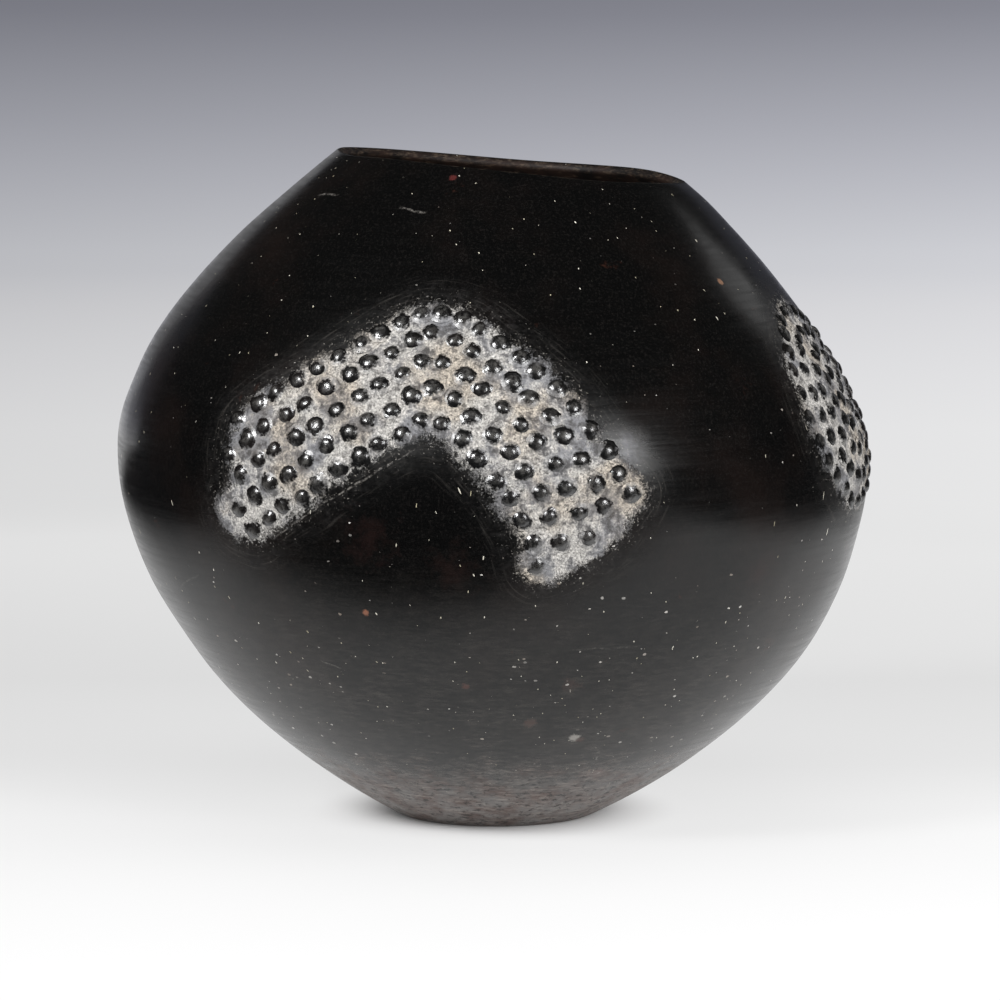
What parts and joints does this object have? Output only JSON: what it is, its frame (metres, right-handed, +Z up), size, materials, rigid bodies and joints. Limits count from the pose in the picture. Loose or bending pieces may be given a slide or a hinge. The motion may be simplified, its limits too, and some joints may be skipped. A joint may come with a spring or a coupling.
{
  "type": "ukhamba beer pot",
  "caption": "Round coil-built beer pot of burnished, smoke-blackened clay with a narrow open mouth, a small flat foot and raised pellet chevrons and discs.",
  "frame": {"origin": "on the ground plane, under the middle of the pot's bounding box", "axes": "+Z up out of the mouth, -Y towards the viewer who faces the front chevron, +X to that viewer's right"},
  "size_m": [0.332, 0.3346, 0.2934],
  "materials": {
    "burnished_clay": "burnished, smoke-blackened, semi-gloss",
    "worn_clay": "scuffed, matte, brown-grey",
    "rim_clay": "burnished, worn brown on the lip",
    "pellet_clay": "burnished black pellets with pale ash around them"
  },
  "bodies": {
    "root": {"base_disc": "worn_clay", "coil_1": "burnished_clay", "coil_2": "burnished_clay", "coil_3": "burnished_clay", "coil_4": "burnished_clay", "coil_5": "burnished_clay", "coil_6": "burnished_clay", "coil_7": "burnished_clay", "coil_8": "burnished_clay", "coil_9": "burnished_clay", "coil_10": "burnished_clay", "coil_11": "burnished_clay", "rim_coil": "rim_clay", "front_chevron_row_1": "pellet_clay", "front_chevron_row_2": "pellet_clay", "front_chevron_row_3": "pellet_clay", "front_chevron_row_4": "pellet_clay", "front_chevron_row_5": "pellet_clay", "back_chevron_row_1": "pellet_clay", "back_chevron_row_2": "pellet_clay", "back_chevron_row_3": "pellet_clay", "back_chevron_row_4": "pellet_clay", "back_chevron_row_5": "pellet_clay", "right_disc_ring_0": "pellet_clay", "right_disc_ring_1": "pellet_clay", "right_disc_ring_2": "pellet_clay", "right_disc_ring_3": "pellet_clay", "right_disc_ring_4": "pellet_clay", "left_disc_ring_0": "pellet_clay", "left_disc_ring_1": "pellet_clay", "left_disc_ring_2": "pellet_clay", "left_disc_ring_3": "pellet_clay", "left_disc_ring_4": "pellet_clay"}
  },
  "joints": []
}
